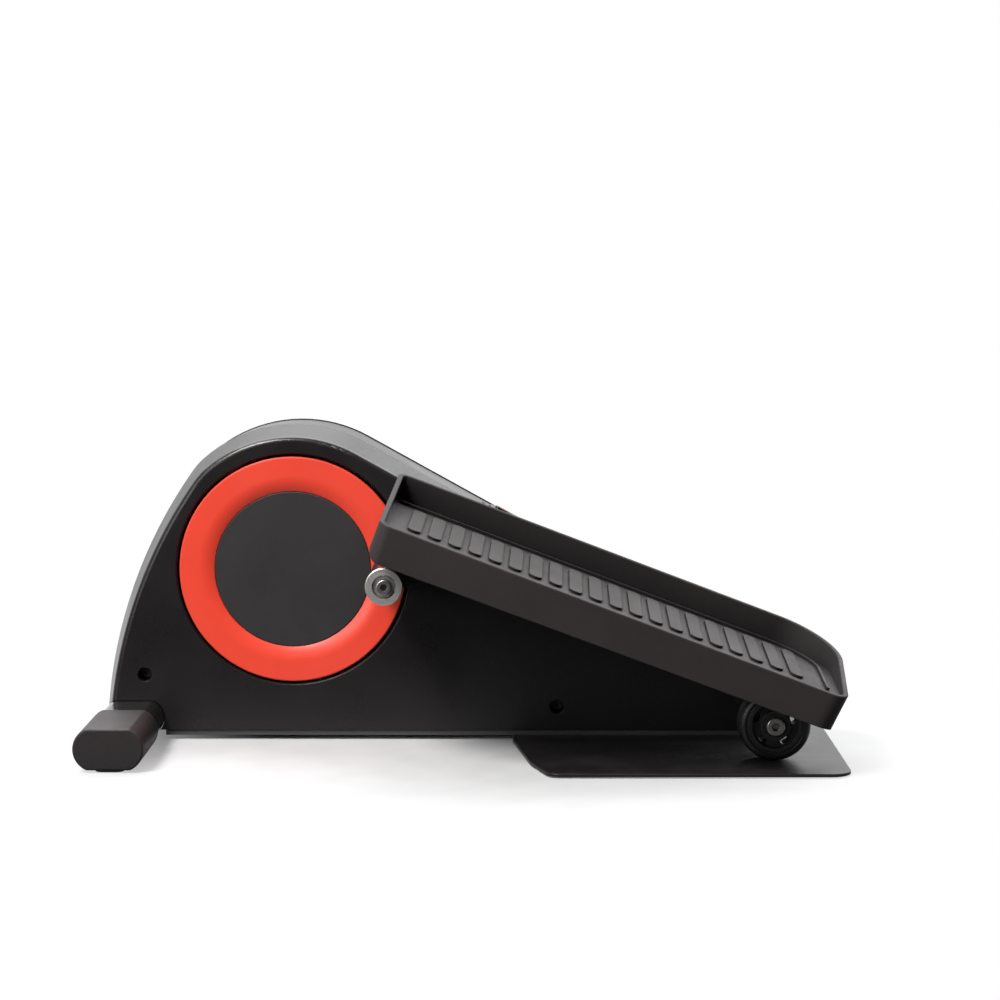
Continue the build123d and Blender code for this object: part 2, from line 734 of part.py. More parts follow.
arm_middle = (arm_near + arm_far) / 2
arm_offset = pedal_centre - arm_middle
screw_stations = (60, 180, 290)
rib_margin = 22.0
rib_length = 84.0
rib_width = 10.4
rib_height = 2.0
bead_inset = 13.0
bead_width = 2.4
toe_round = 10.0
with BuildPart() as pedal_tray:
    add(tray_block(0, tray_top).part)
    split(bisect_by=rim_plane, keep=Keep.BOTTOM)
    # The lower toe edge is rounded in side view
    with BuildSketch(across(pedal_centre - half_width - 1)):
        with BuildLine():
            start = tray_point(-1, toe_round)
            middle = tray_point(toe_round * (1 - cos(radians(45))), toe_round * (1 - sin(radians(45))))
            Polyline(tray_point(0, toe_round), start, tray_point(-1, -1), tray_point(toe_round, -1),
                     tray_point(toe_round, 0))
            ThreePointArc(tray_point(toe_round, 0), middle, tray_point(0, toe_round))
        make_face()
    extrude(amount=pedal_width + 2, mode=Mode.SUBTRACT)
    add(tray_cavity.part, mode=Mode.SUBTRACT)
    add(tray_underside.part, mode=Mode.SUBTRACT)
    rim_faces = pedal_tray.faces().filter_by(
        lambda face: face.geom_type == GeomType.PLANE and abs(face.normal_at().dot(rim_plane.z_dir)) > 0.9999
    )
    fillet(rim_faces.sort_by(SortBy.AREA)[-1].edges(), radius=1.2)
    # Grip ribs and the bead round them
    with BuildSketch(floor_plane):
        with Locations((pedal_length / 2 - 6, rib_margin + rib_length / 2)):
            with GridLocations(rib_pitch, 1, rib_count, 1):
                SlotOverall(rib_length, rib_width, rotation=90)
    extrude(amount=rib_height)
    bead_far = pedal_width - 2 * rim_width - bead_inset
    with BuildSketch(floor_plane):
        with BuildLine() as bead_path:
            FilletPolyline((8, bead_far), (pedal_length - 16, bead_far), (pedal_length - 16, 16), radius=38)
            offset(bead_path.line, amount=bead_width, side=Side.LEFT)
        make_face()
    extrude(amount=rib_height + 0.5)
    # Bosses for the screws that hold the tray on its arm, and cross ribs under the floor
    with BuildSketch(tray_plane.offset(arm_top)):
        with Locations(*[(station, arm_offset) for station in screw_stations]):
            Circle(7)
            Circle(2.0, mode=Mode.SUBTRACT)
    extrude(until=Until.NEXT)
save_pair(pedal_tray, "pedal_tray", shift=pedal_shift)

# Pedal arms: a steel box tube under each tray, with a sleeve for the crank pin at the toe
# and a plate for the roller's axle at the heel
arm_front = 10.0
arm_rear = 316.0
tube_wall = 2.0
arm_width = arm_far - arm_near
pin_gap = 0.05
axle_boss_radius = 12.0
roller_axle_radius = 4.0
bush_radius = 10.0
arm_plane = Plane(
    origin=tray_plane.from_local_coords((arm_front, arm_offset, arm_top - arm_height / 2)),
    x_dir=(0, 1, 0), z_dir=(tilt_cos, 0, -tilt_sin),
)

with BuildPart() as pedal_arm:
    with BuildSketch(arm_plane):
        RectangleRounded(arm_width, arm_height, 3.5)
        RectangleRounded(arm_width - 2 * tube_wall, arm_height - 2 * tube_wall, 1.5, mode=Mode.SUBTRACT)
    extrude(amount=arm_rear - arm_front)
    tube(left_pin, sleeve_radius, bush_radius, sleeve_near, sleeve_far)
    for near in (arm_near, arm_far - 4):
        plate([left_pin, tray_point(arm_front, arm_top - 4), tray_point(62, arm_top - 4),
               tray_point(62, arm_top - arm_height), tray_point(34, -24)], near, near + 4)
    plate([tray_point(286, arm_top - 1), tray_point(arm_rear, arm_top - 1), (roller_x + 9, roller_z + 8), roller,
           (roller_x - 10, roller_z - 6), tray_point(286, arm_top - arm_height)], arm_far, arm_far + 5)
    rod(roller, axle_boss_radius, arm_far - 6, arm_far + 6)
    rod(left_pin, bush_radius, sleeve_near - 1, sleeve_far + 1, mode=Mode.SUBTRACT)
    rod(roller, roller_axle_radius + running_gap, arm_far - 10, arm_far + 10, mode=Mode.SUBTRACT)
    with BuildSketch(tray_plane.offset(arm_top - arm_height - 1)):
        with Locations(*[(station, arm_offset) for station in screw_stations]):
            Circle(2.4)
    extrude(amount=arm_height + 2, mode=Mode.SUBTRACT)
save_pair(pedal_arm, "pedal_arm", shift=pedal_shift)

with BuildPart() as tray_screws:
    for station in screw_stations:
        with BuildSketch(tray_plane.offset(arm_top - arm_height)):
            with Locations((station, arm_offset)):
                Circle(1.9)
        extrude(amount=arm_height + 8)
        with BuildSketch(tray_plane.offset(arm_top - arm_height)):
            with Locations((station, arm_offset)):
                Circle(4.5)
        extrude(amount=-2.6)
save_pair(tray_screws, "tray_screws", shift=pedal_shift)

# Crank pin: flanged bushes in the sleeve, the pin bolt and a turned washer under its head
bush_flange = 2.0
with BuildPart() as pin_bushes:
    for near, far, flange_near in ((sleeve_near, sleeve_near + 16, sleeve_near - bush_flange),
                                   (sleeve_far - 16, sleeve_far, sleeve_far)):
        tube(left_pin, bush_radius, pin_radius, near, far)
        tube(left_pin, sleeve_radius - 1, pin_radius, flange_near, flange_near + bush_flange)
save_pair(pin_bushes, "pin_bushes", shift=pedal_shift)

washer_near = sleeve_far + bush_flange
washer_far = washer_near + 3.5
washer_floor = washer_near + 0.9
with BuildPart() as pin_washer:
    with BuildSketch(Plane.XY):
        with BuildLine():
            Polyline(
                (4.2, -washer_near), (14.5, -washer_near), (14.5, -washer_far + 0.8), (13.7, -washer_far),
                (9.2, -washer_far), (8.2, -washer_floor), (4.2, -washer_floor), close=True,
            )
        make_face()
    revolve(axis=Axis.Y)
with BuildPart() as pin_washer_placed:
    with Locations((left_pin[0], 0, left_pin[1])):
        add(pin_washer.part)
save_pair(pin_washer_placed, "pin_washer", shift=pedal_shift)

head_far = washer_far + 3.0
with BuildPart() as pin_bolt:
    rod(left_pin, pin_radius, sleeve_near - 1, washer_near)
    rod(left_pin, 4.2, washer_near, washer_floor)
    rod(left_pin, 5.6, washer_floor, head_far)
    fillet(pin_bolt.faces().sort_by(Axis.Y)[0].edges(), radius=0.7)
    hex_socket(left_pin, 5, 4.0, head_far)
save_pair(pin_bolt, "pin_bolt", shift=pedal_shift)

# Roller: a round-edged tyre on a spoked hub, two bearings and the axle bolt
tyre_inner = 20.0
hub_recess = 5.0
hub_boss = 11.5
roller_bearing = 9.0
with BuildPart() as tyre_profile:
    with BuildSketch(Plane.XY):
        with BuildLine():
            Polyline(
                (roller_radius, -roller_near - 7), (roller_radius, -roller_far + 7),
            )
            ThreePointArc((roller_radius, -roller_far + 7), (roller_radius - 1.7, -roller_far + 2.0),
                          (roller_radius - 5.5, -roller_far))
            Polyline((roller_radius - 5.5, -roller_far), (tyre_inner, -roller_far), (tyre_inner, -roller_near),
                     (roller_radius - 5.5, -roller_near))
            ThreePointArc((roller_radius - 5.5, -roller_near), (roller_radius - 1.7, -roller_near - 2.0),
                          (roller_radius, -roller_near - 7))
        make_face()
    revolve(axis=Axis.Y)
with BuildPart() as roller_tyre:
    with Locations((roller_x, 0, roller_z)):
        add(tyre_profile.part)
save_pair(roller_tyre, "roller_tyre", shift=pedal_shift)

with BuildPart() as roller_hub:
    rod(roller, tyre_inner, roller_near, roller_far)
    for near, far in ((roller_near - 1, roller_near + hub_recess), (roller_far - hub_recess, roller_far + 1)):
        with BuildSketch(across(near)):
            with Locations(roller):
                Circle(tyre_inner - 2.2)
                Circle(hub_boss, mode=Mode.SUBTRACT)
        extrude(amount=far - near, mode=Mode.SUBTRACT)
    with BuildSketch(across(roller_near)):
        with Locations(roller):
            with PolarLocations((tyre_inner - 2.2 + hub_boss) / 2, 5, start_angle=15):
                SlotOverall(7.4, 4.2, rotation=90)
    extrude(amount=roller_far - roller_near, mode=Mode.SUBTRACT)
    rod(roller, roller_bearing, roller_near - 1, roller_far + 1, mode=Mode.SUBTRACT)
save_pair(roller_hub, "roller_hub", shift=pedal_shift)

with BuildPart() as roller_bearings:
    for near in (roller_near + 0.5, roller_far - 7.5):
        tube(roller, roller_bearing, roller_axle_radius + running_gap, near, near + 7)
save_pair(roller_bearings, "roller_bearings", shift=pedal_shift)

with BuildPart() as axle_bolt:
    rod(roller, roller_axle_radius, arm_far - 8, roller_far)
    rod(roller, 7, arm_far - 12, arm_far - 6.5)
    rod(roller, 6.5, arm_far + 6.5, roller_near - 0.2)
    rod(roller, 7, roller_far + 0.3, roller_far + 5)
    fillet(axle_bolt.faces().sort_by(Axis.Y)[0].edges(), radius=0.9)
    rod(roller, roller_axle_radius, roller_far - 1, roller_far + 1)
    hex_socket(roller, 6, 3.6, roller_far + 5)
save_pair(axle_bolt, "axle_bolt", shift=pedal_shift)
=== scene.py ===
# %% [markdown]
# # A pedal exerciser, seen in a small studio
# The machine is a low seated elliptical trainer. Its CAD model is already packed, with every
# piece in its place, so this lesson is about how it looks: moulded black plastic, a bright coral
# ring, powder-coated steel, zinc screws and rubber rollers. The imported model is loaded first, as
# a fixed frame that nothing below may move.

import json
import math

import bmesh
import bpy
from mathutils import Matrix, Vector


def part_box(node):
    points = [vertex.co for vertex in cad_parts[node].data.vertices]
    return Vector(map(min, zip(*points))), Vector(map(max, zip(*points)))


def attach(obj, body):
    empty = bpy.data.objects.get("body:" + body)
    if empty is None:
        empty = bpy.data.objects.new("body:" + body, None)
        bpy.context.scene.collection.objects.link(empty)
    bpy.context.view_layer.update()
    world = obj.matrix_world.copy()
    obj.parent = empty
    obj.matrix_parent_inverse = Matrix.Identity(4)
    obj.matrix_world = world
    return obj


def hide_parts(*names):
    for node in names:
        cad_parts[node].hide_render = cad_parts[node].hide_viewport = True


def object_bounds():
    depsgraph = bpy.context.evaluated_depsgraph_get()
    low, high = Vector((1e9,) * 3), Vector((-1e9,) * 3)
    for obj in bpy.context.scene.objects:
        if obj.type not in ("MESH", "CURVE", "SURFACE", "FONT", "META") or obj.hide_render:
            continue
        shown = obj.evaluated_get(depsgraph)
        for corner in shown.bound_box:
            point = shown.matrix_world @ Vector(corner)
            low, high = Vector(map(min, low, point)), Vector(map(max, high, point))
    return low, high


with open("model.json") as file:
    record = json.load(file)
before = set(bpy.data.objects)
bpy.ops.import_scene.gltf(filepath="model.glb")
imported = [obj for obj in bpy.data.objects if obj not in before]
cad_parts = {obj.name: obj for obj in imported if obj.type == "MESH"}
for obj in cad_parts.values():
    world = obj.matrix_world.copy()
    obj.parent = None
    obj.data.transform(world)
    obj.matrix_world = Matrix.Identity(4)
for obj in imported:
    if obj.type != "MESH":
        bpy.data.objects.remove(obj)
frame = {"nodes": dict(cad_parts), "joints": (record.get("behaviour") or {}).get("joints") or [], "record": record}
cad_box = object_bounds()
nodes = frame["nodes"]
scene = bpy.context.scene
low, high = cad_box
print("nodes", len(nodes), "size in metres", [round(v, 4) for v in high - low])

# %% [markdown]
# ## Camera
# A long lens a little under two metres away keeps the side of the machine almost flat, which is
# how a catalogue shows such a product. The camera looks down by about six degrees, just enough to
# see into the pedal.

# %% Camera
CAMERA_DISTANCE = 1.908
CAMERA_HEIGHT = 0.3894
CAMERA_ALONG = 0.0382
LOOK_DOWN = math.radians(6.03)
LOOK_ASIDE = math.radians(0.298)
LENS = 83.16
SENSOR = 36.0

camera_data = bpy.data.cameras.new("studio_camera")
camera_data.lens = LENS
camera_data.sensor_width = SENSOR
camera_data.clip_start = 0.05
camera_data.clip_end = 60.0
camera = bpy.data.objects.new("studio_camera", camera_data)
middle = (low + high) / 2
camera.location = (middle.x + CAMERA_ALONG, -CAMERA_DISTANCE, CAMERA_HEIGHT)
camera.rotation_euler = (math.pi / 2 - LOOK_DOWN, 0.0, LOOK_ASIDE)
scene.collection.objects.link(camera)
scene.camera = camera
print("camera at", [round(v, 4) for v in camera.location])

# %% [markdown]
# ## Helpers for node trees
# Every finish below is a small graph. These helpers keep the graphs readable: one adds a node and
# fills in its sockets and settings by name, three make common nodes, and the last two open a
# shader node group with named inputs and outputs and place it in a material.

# %% Node helpers
def add_node(tree, kind, settings=None, **sockets):
    """Add a node and fill or link its sockets. Socket i0 is the first input, i1 the second."""
    node = tree.nodes.new(kind)
    for key, value in (settings or {}).items():
        setattr(node, key, value)
    for key, value in sockets.items():
        by_number = key[0] == "i" and key[1:].isdigit()
        socket = node.inputs[int(key[1:])] if by_number else node.inputs[key.replace("_", " ")]
        if isinstance(value, bpy.types.NodeSocket):
            tree.links.new(value, socket)
        else:
            socket.default_value = value
    return node


def maths(tree, operation, a, b=None, clamp=False):
    """One Math node; a and b are numbers or sockets."""
    sockets = {"i0": a} if b is None else {"i0": a, "i1": b}
    settings = {"operation": operation, "use_clamp": clamp}
    return add_node(tree, "ShaderNodeMath", settings, **sockets).outputs[0]


def spread(tree, value, from_low, from_high, to_low=0.0, to_high=1.0):
    """A smooth Map Range from one pair of values to another."""
    node = add_node(tree, "ShaderNodeMapRange", {"interpolation_type": "SMOOTHSTEP"}, Value=value,
                    From_Min=from_low, From_Max=from_high, To_Min=to_low, To_Max=to_high)
    return node.outputs["Result"]


def blend_colour(tree, factor, first, second):
    """Mix two colours, or colour sockets, by a factor."""
    node = tree.nodes.new("ShaderNodeMix")
    node.data_type = "RGBA"
    for number, value in ((0, factor), (6, first), (7, second)):
        socket = node.inputs[number]
        if isinstance(value, bpy.types.NodeSocket):
            tree.links.new(value, socket)
        else:
            socket.default_value = (*value, 1.0) if isinstance(value, tuple) else value
    return node.outputs[2]


def open_group(name, inputs, outputs):
    """Start a shader node group. Inputs are (name, kind, value), outputs are (name, kind)."""
    group = bpy.data.node_groups.new(name, "ShaderNodeTree")
    for label, kind, value in inputs:
        socket = group.interface.new_socket(label, in_out="INPUT",
                                            socket_type=f"NodeSocket{kind}")
        socket.default_value = value
    for label, kind in outputs:
        group.interface.new_socket(label, in_out="OUTPUT", socket_type=f"NodeSocket{kind}")
    given = group.nodes.new("NodeGroupInput").outputs
    result = group.nodes.new("NodeGroupOutput").inputs
    return group, given, result


def place_group(tree, group, **sockets):
    """Put a finished group into a material's tree with its own values."""
    return add_node(tree, "ShaderNodeGroup", {"node_tree": group}, **sockets).outputs


print("node helpers ready")

# %% [markdown]
# ## Effect: moulded grain
# Injection-moulded plastic takes its skin from the etched tool: a field of tiny rounded pits. A
# Voronoi pattern gives the cells and a little noise breaks up their regularity. An image texture
# would repeat and need UVs; this pattern lives in object space, so it stays put on the part
# however the part moves.

# %% Group: moulded grain
grain_group, given, result = open_group(
    "Moulded grain",
    [("Cells per metre", "Float", 900.0), ("Unevenness", "Float", 0.5)],
    [("Height", "Float"), ("Shade", "Float")],
)
DRIFT_TO_CELLS = 0.31
tree = grain_group
where = add_node(tree, "ShaderNodeTexCoord").outputs["Object"]
cells = add_node(tree, "ShaderNodeTexVoronoi", {"feature": "SMOOTH_F1"}, Vector=where,
                 Scale=given[0], Smoothness=0.6)
drift_scale = maths(tree, "MULTIPLY", given[0], DRIFT_TO_CELLS)
drift = add_node(tree, "ShaderNodeTexNoise", Vector=where, Scale=drift_scale, Detail=3.0)
pits = spread(tree, cells.outputs["Distance"], 0.15, 0.75)
uneven = maths(tree, "MULTIPLY", drift.outputs[0], given[1])
tree.links.new(maths(tree, "ADD", pits, uneven), result["Height"])
slow = add_node(tree, "ShaderNodeTexNoise", Vector=where, Scale=9.0, Detail=4.0, Roughness=0.6)
tree.links.new(spread(tree, slow.outputs[0], 0.3, 0.7), result["Shade"])
print("group:", grain_group.name)

# %% [markdown]
# ## Effect: worn and rounded edges
# No real edge is perfectly sharp, and hands, shoes and boxes rub the edges first. The Bevel node
# returns the normal of a slightly rounded edge. Used as the surface normal it makes crisp CAD
# edges catch the light; compared with the true normal it tells where an edge is, and that mask,
# broken by noise, is the wear.

# %% Group: edge wear
wear_group, given, result = open_group(
    "Edge wear",
    [("Edge radius", "Float", 0.0006), ("Amount", "Float", 0.5),
     ("Patches per metre", "Float", 60.0)],
    [("Mask", "Float"), ("Normal", "Vector")],
)
tree = wear_group
bevel = add_node(tree, "ShaderNodeBevel", {"samples": 4}, Radius=given[0])
geometry = add_node(tree, "ShaderNodeNewGeometry")
agree = add_node(tree, "ShaderNodeVectorMath", {"operation": "DOT_PRODUCT"},
                 i0=bevel.outputs[0], i1=geometry.outputs["Normal"])
edge = spread(tree, agree.outputs["Value"], 0.999, 0.93)
where = add_node(tree, "ShaderNodeTexCoord").outputs["Object"]
patches = add_node(tree, "ShaderNodeTexNoise", Vector=where, Scale=given[2], Detail=5.0,
                   Roughness=0.7)
broken = maths(tree, "MULTIPLY", edge, spread(tree, patches.outputs[0], 0.42, 0.66))
tree.links.new(maths(tree, "MULTIPLY", broken, given[1], clamp=True), result["Mask"])
tree.links.new(bevel.outputs[0], result["Normal"])
print("group:", wear_group.name)

# %% [markdown]
# ## Effect: settled dust
# A machine on the floor gathers a thin film of dust on whatever faces up. The mask is the upward
# part of the normal in object space, times noise, so it turns with the part and never looks like
# a cap of snow.

# %% Group: dust
dust_group, given, result = open_group(
    "Settled dust",
    [("Amount", "Float", 0.1), ("Patches per metre", "Float", 25.0)],
    [("Mask", "Float")],
)
tree = dust_group
coordinates = add_node(tree, "ShaderNodeTexCoord")
normal_parts = add_node(tree, "ShaderNodeSeparateXYZ", Vector=coordinates.outputs["Normal"])
upward = spread(tree, normal_parts.outputs["Z"], 0.35, 0.98)
speckle = add_node(tree, "ShaderNodeTexNoise", Vector=coordinates.outputs["Object"],
                   Scale=given[1], Detail=8.0, Roughness=0.75)
settled = maths(tree, "MULTIPLY", upward, spread(tree, speckle.outputs[0], 0.35, 0.75))
tree.links.new(maths(tree, "MULTIPLY", settled, given[0], clamp=True), result["Mask"])
print("group:", dust_group.name)

# %% [markdown]
# ## Effect: handling marks
# Gloss is what tells the eye that a surface has been touched. Soft smudges shift the roughness by
# a few percent over centimetres, and fine scratches, noise drawn out about forty times along one
# direction, cross them.

# %% Group: handling marks
marks_group, given, result = open_group(
    "Handling marks",
    [("Roughness", "Float", 0.45), ("Smudge", "Float", 0.06), ("Scratches", "Float", 0.1),
     ("Patches per metre", "Float", 14.0)],
    [("Roughness", "Float")],
)
SCRATCH_TURN = (0.2, 0.45, 0.3)
SCRATCH_SCALE = (25.0, 900.0, 1100.0)
SCRATCH_ROUGHNESS = 0.12
tree = marks_group
where = add_node(tree, "ShaderNodeTexCoord").outputs["Object"]
smudge = add_node(tree, "ShaderNodeTexNoise", Vector=where, Scale=given[3], Detail=6.0,
                  Distortion=0.7)
signed = spread(tree, smudge.outputs[0], 0.3, 0.7, -1.0, 1.0)
stretched = add_node(tree, "ShaderNodeMapping", Vector=where, Rotation=SCRATCH_TURN,
                     Scale=SCRATCH_SCALE)
lines = add_node(tree, "ShaderNodeTexNoise", Vector=stretched.outputs[0], Scale=1.0, Detail=2.0)
scratch = maths(tree, "MULTIPLY", spread(tree, lines.outputs[0], 0.68, 0.76), given[2])
smudged = maths(tree, "ADD", given[0], maths(tree, "MULTIPLY", signed, given[1]))
scuffed = maths(tree, "MULTIPLY", scratch, SCRATCH_ROUGHNESS)
tree.links.new(maths(tree, "ADD", smudged, scuffed, clamp=True), result["Roughness"])
print("group:", marks_group.name)

# %% [markdown]
# ## Effect: turned rings
# Washers and the flywheel come off a lathe, and the tool leaves fine rings about the axis. The
# rings here are a sine of the distance from an axis that runs across the machine, with a little
# drift so that they are not perfect.

# %% Group: turned rings
rings_group, given, result = open_group(
    "Turned rings",
    [("Axis", "Vector", (0.0, 0.0, 0.0)), ("Rings per metre", "Float", 2500.0)],
    [("Height", "Float")],
)
tree = rings_group
where = add_node(tree, "ShaderNodeTexCoord").outputs["Object"]
offset = add_node(tree, "ShaderNodeVectorMath", {"operation": "SUBTRACT"}, i0=where, i1=given[0])
flat = add_node(tree, "ShaderNodeVectorMath", {"operation": "MULTIPLY"}, i0=offset.outputs[0],
                i1=(1.0, 0.0, 1.0))
length = add_node(tree, "ShaderNodeVectorMath", {"operation": "LENGTH"}, i0=flat.outputs[0])
radius = length.outputs["Value"]
turns = maths(tree, "MULTIPLY", radius, maths(tree, "MULTIPLY", given[1], 2 * math.pi))
jitter = add_node(tree, "ShaderNodeTexNoise", {"noise_dimensions": "1D"},
                  W=maths(tree, "MULTIPLY", radius, 1800.0), Detail=2.0)
drifted = maths(tree, "ADD", turns, maths(tree, "MULTIPLY", jitter.outputs[0], 6.0))
wave = maths(tree, "SINE", drifted)
tree.links.new(spread(tree, wave, -1.0, 1.0), result["Height"])
print("group:", rings_group.name)

# %% [markdown]
# ## Effect: painted shade in recesses
# Corners, sockets and the gaps between ribs are painted darker than open faces. This is painted
# shade: it stands in for the light that reaches them less. The Ambient Occlusion node measures how
# enclosed a point is within a set distance, and the mask darkens the colour there.

# %% Group: painted shade in recesses
painted_shade_group, given, result = open_group(
    "Painted recess shade",
    [("Reach", "Float", 0.01), ("Amount", "Float", 0.5)],
    [("Mask", "Float")],
)
tree = painted_shade_group
occlusion = add_node(tree, "ShaderNodeAmbientOcclusion", {"samples": 6}, Distance=given[0])
enclosed = spread(tree, occlusion.outputs["AO"], 0.95, 0.3)
tree.links.new(maths(tree, "MULTIPLY", enclosed, given[1], clamp=True), result["Mask"])
print("group:", painted_shade_group.name)

# %% [markdown]
# ## Finishes
# One function builds a finish from the effects above: grain or powder-coat texture as bump, wear
# on the edges, dust on top, painted shade in recesses where asked, and handling marks in the gloss.
# Each material then gives its own values, so the plastics are cousins and not copies. Numbers that
# are the same all over a surface, such as the coat or the sheen, go straight on the shader.

# %% The finish function
DUST_COLOUR = (0.42, 0.40, 0.37)
DUST_ROUGHNESS = 0.5
PAINTED_SHADE_COLOUR = 0.12
RING_SPACING = 1900.0


def finish(name, colour, roughness, grain=900.0, depth=0.00008, uneven=0.5, edge=0.0006, wear=0.3,
           worn=None, shade=0.12, dust=0.06, smudge=0.05, scratches=0.2, metal=0.0, rings=None,
           painted_shade=None, fixed=None):
    """A procedural material: colour variation, worn edges, dust, painted recess shade, grain bump and uneven
    gloss.
    """
    material = bpy.data.materials.new(name)
    material.use_nodes = True
    tree = material.node_tree
    shader = tree.nodes["Principled BSDF"]
    grain_out = place_group(tree, grain_group, Cells_per_metre=grain, Unevenness=uneven)
    wear_out = place_group(tree, wear_group, Edge_radius=edge, Amount=wear)
    dust_out = place_group(tree, dust_group, Amount=dust)
    marks_out = place_group(tree, marks_group, Roughness=roughness, Smudge=smudge,
                            Scratches=scratches)
    darker = tuple(c * (1 - shade) for c in colour)
    lighter = tuple(min(1.0, c * (1 + shade)) for c in colour)
    worn = worn or tuple(min(1.0, c * 2.2 + 0.02) for c in colour)
    base = blend_colour(tree, grain_out["Shade"], darker, lighter)
    rubbed = blend_colour(tree, wear_out["Mask"], base, worn)
    surface = blend_colour(tree, dust_out["Mask"], rubbed, DUST_COLOUR)
    # Painted shade: in corners and sockets the colour is darkened towards a dark copy of itself, standing in for
    # shade.
    if painted_shade is not None:
        reach, amount = painted_shade
        painted_shade_out = place_group(tree, painted_shade_group, Reach=reach, Amount=amount)
        shadowed = tuple(c * PAINTED_SHADE_COLOUR for c in colour)
        surface = blend_colour(tree, painted_shade_out["Mask"], surface, shadowed)
    tree.links.new(surface, shader.inputs["Base Color"])
    dulled = maths(tree, "MULTIPLY", dust_out["Mask"], DUST_ROUGHNESS)
    gloss = maths(tree, "ADD", marks_out["Roughness"], dulled, clamp=True)
    tree.links.new(gloss, shader.inputs["Roughness"])
    normal = add_node(tree, "ShaderNodeBump", Strength=0.6, Distance=depth,
                      Height=grain_out["Height"], Normal=wear_out["Normal"]).outputs[0]
    if rings is not None:
        rings_out = place_group(tree, rings_group, Axis=rings, Rings_per_metre=RING_SPACING)
        normal = add_node(tree, "ShaderNodeBump", Strength=0.8, Distance=0.00002,
                          Height=rings_out["Height"], Normal=normal).outputs[0]
    tree.links.new(normal, shader.inputs["Normal"])
    shader.inputs["Metallic"].default_value = metal
    for key, value in (fixed or {}).items():
        shader.inputs[key].default_value = value
    return material


print("finish function ready")

# %% [markdown]
# ## Plastics
# The housing and its spine are moulded in a satin black, glossier than the charcoal pedals, whose
# deep trays get painted shade in their corners. The boots are softer and duller, with painted shade
# in their recesses. The coral rings are smooth, with a thin clear coat that keeps the colour
# bright, and a little painted shade in their inner corners.

# %% Plastics
housing_plastic = finish(
    "housing satin black", (0.0095, 0.0078, 0.0082), 0.30, grain=1300.0, depth=0.00004,
    edge=0.0008, wear=0.25, worn=(0.05, 0.047, 0.047), dust=0.02, smudge=0.04)
spine_plastic = finish(
    "spine satin black", (0.0095, 0.0082, 0.0085), 0.27, grain=1100.0, depth=0.00004,
    wear=0.2, worn=(0.05, 0.047, 0.047), dust=0.03, smudge=0.04)
# Painted shade: the recess mask darkens the tray's corners, inner walls and the gaps between its ribs.
tray_plastic = finish(
    "pedal charcoal", (0.030, 0.0257, 0.0265), 0.6, grain=1000.0, edge=0.0012, wear=0.4,
    worn=(0.11, 0.105, 0.105), dust=0.012, scratches=0.35, painted_shade=(0.080, 0.97),
    fixed={"Specular IOR Level": 0.15})
disc_plastic = finish(
    "cap charcoal", (0.019, 0.0175, 0.018), 0.5, grain=1500.0, depth=0.00005, wear=0.2, dust=0.0)
# Painted shade: the recess mask darkens the boot in its recesses.
boot_plastic = finish(
    "boot soft black", (0.027, 0.0225, 0.0237), 0.5, grain=1100.0, depth=0.0001, edge=0.0010,
    wear=0.4, worn=(0.10, 0.094, 0.094), dust=0.03, painted_shade=(0.06, 0.9),
    fixed={"Specular IOR Level": 0.35})
# Painted shade: a narrow recess mask darkens the ring's inner corners.
ring_coral = finish(
    "ring coral", (0.80, 0.058, 0.030), 0.38, grain=1700.0, depth=0.00002, edge=0.0008, wear=0.1,
    worn=(0.90, 0.24, 0.17), shade=0.04, dust=0.0, scratches=0.1, painted_shade=(0.012, 0.5),
    fixed={"Coat Weight": 0.15, "Coat Roughness": 0.2})
print("plastics:", housing_plastic.name, spine_plastic.name, tray_plastic.name, disc_plastic.name)

# %% [markdown]
# ## Metals
# Powder coat is a paint, so the plate, arms and brackets are not metallic and have a coarse
# orange-peel bump instead. Bare steel, zinc and aluminium are fully metallic, and differ in how
# rough they are. The washer and the flywheel also show the rings of the lathe about their own
# axes, which the middle of each node's box gives.

# %% Metals
def axis_of(node):
    """The middle of a node's box, which for a turned part is on its axis."""
    first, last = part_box(node)
    return tuple((first + last) / 2)


BRIGHT_EDGE = (0.68, 0.67, 0.65)
black_steel = finish(
    "plate powder black", (0.011, 0.0098, 0.0102), 0.33, grain=520.0, depth=0.00006, uneven=1.2,
    edge=0.0007, wear=0.35, worn=(0.04, 0.038, 0.038), dust=0.03, scratches=0.5)
frame_steel = finish(
    "bracket dark grey", (0.05, 0.05, 0.052), 0.35, grain=420.0, depth=0.00006, uneven=1.0,
    edge=0.0008, wear=0.35, worn=(0.16, 0.158, 0.155), dust=0.04, scratches=0.3)
tube_gloss = finish(
    "tube gloss black", (0.009, 0.0082, 0.0085), 0.17, grain=420.0, depth=0.00004, uneven=1.0,
    edge=0.0008, worn=(0.08, 0.078, 0.076), dust=0.03, scratches=0.3,
    fixed={"Coat Weight": 0.3, "Coat Roughness": 0.08})
# Painted shade: the recess mask darkens the insides of sockets and round the heads.
zinc_steel = finish(
    "zinc steel", (0.50, 0.485, 0.465), 0.34, grain=700.0, depth=0.00002, edge=0.0004, wear=0.4,
    worn=BRIGHT_EDGE, shade=0.18, dust=0.03, metal=1.0, painted_shade=(0.004, 0.95))
